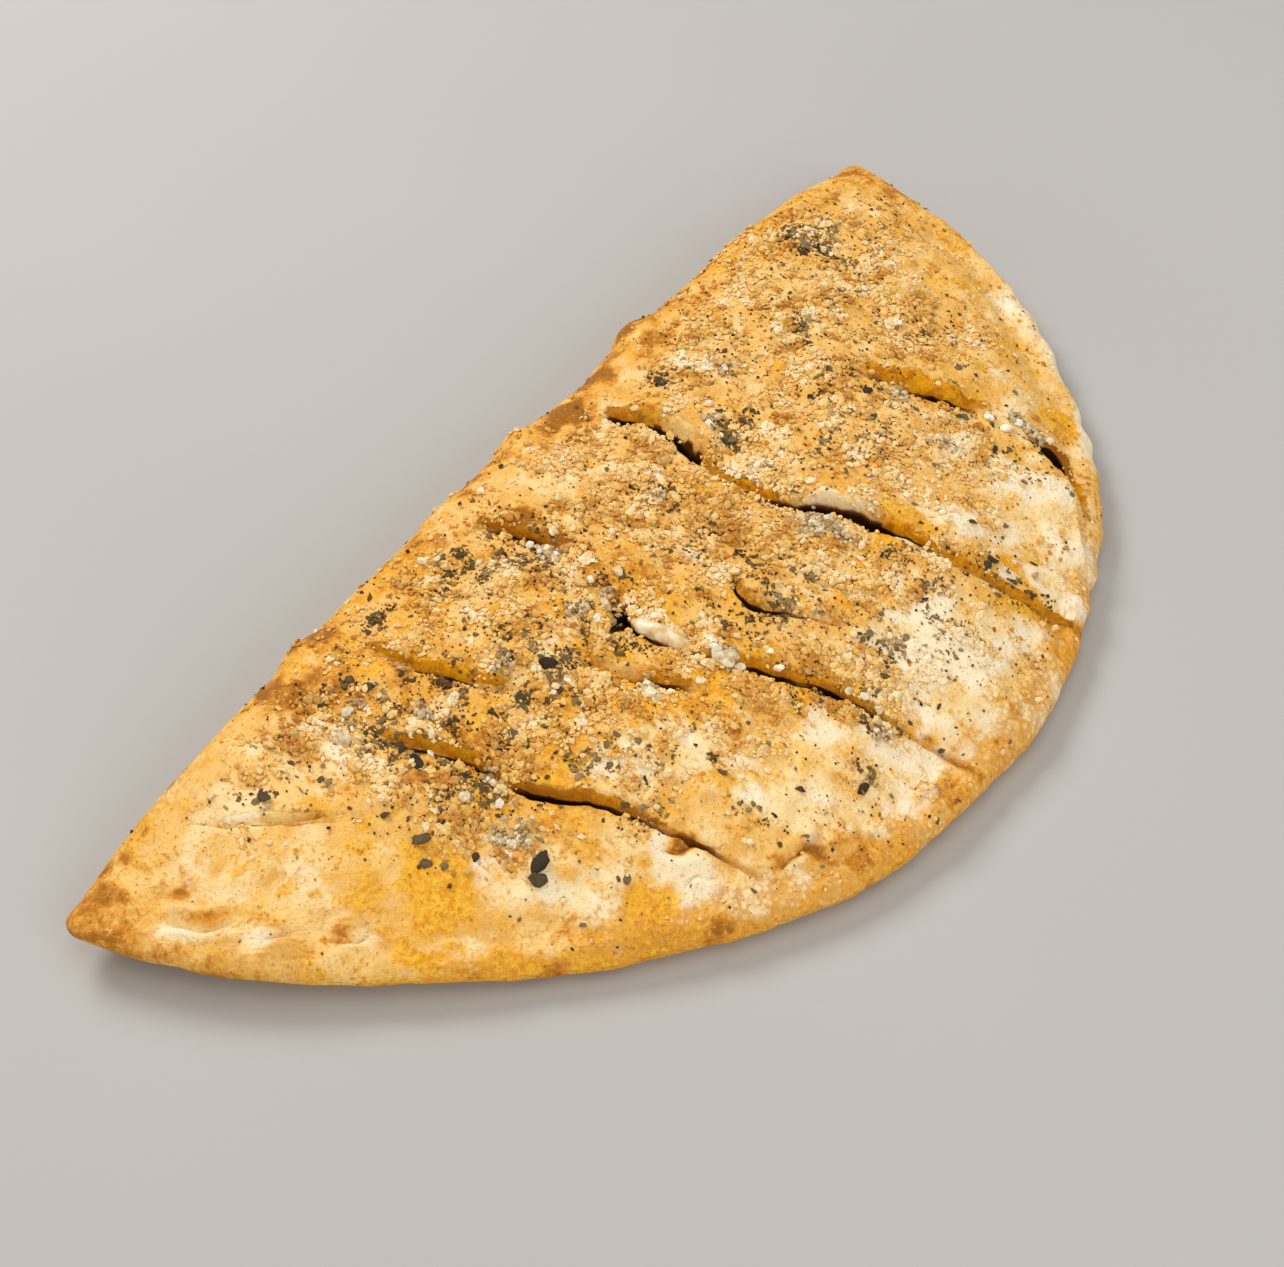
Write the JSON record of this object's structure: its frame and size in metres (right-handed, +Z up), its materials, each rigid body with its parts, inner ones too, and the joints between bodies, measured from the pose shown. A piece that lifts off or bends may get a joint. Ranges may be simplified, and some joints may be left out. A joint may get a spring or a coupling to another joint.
{
  "type": "calzone",
  "caption": "Baked calzone: a round of dough folded into a half moon over its filling, sealed along the curved side, with slashes across the seasoned top.",
  "frame": {"origin": "middle of the flat base, at the centre of the outline's bounding box", "axes": "+X along the folded side, +Y towards the fold, -Y towards the curved sealed rim, +Z up"},
  "size_m": [0.344, 0.1626, 0.0323],
  "materials": {
    "crust": "baked dough, golden with cream and toasted patches, satin where oiled, grated cheese and dried herbs scattered over it",
    "filling": "moist browned cheese and meat filling",
    "grated_cheese": "dry grated hard cheese and garlic granules, matt",
    "melted_cheese": "soft white cheese, slightly shiny",
    "herbs": "dried oregano leaf and cracked black pepper, matt"
  },
  "bodies": {
    "root": {"crust": "crust", "filling": "filling"}
  },
  "joints": []
}
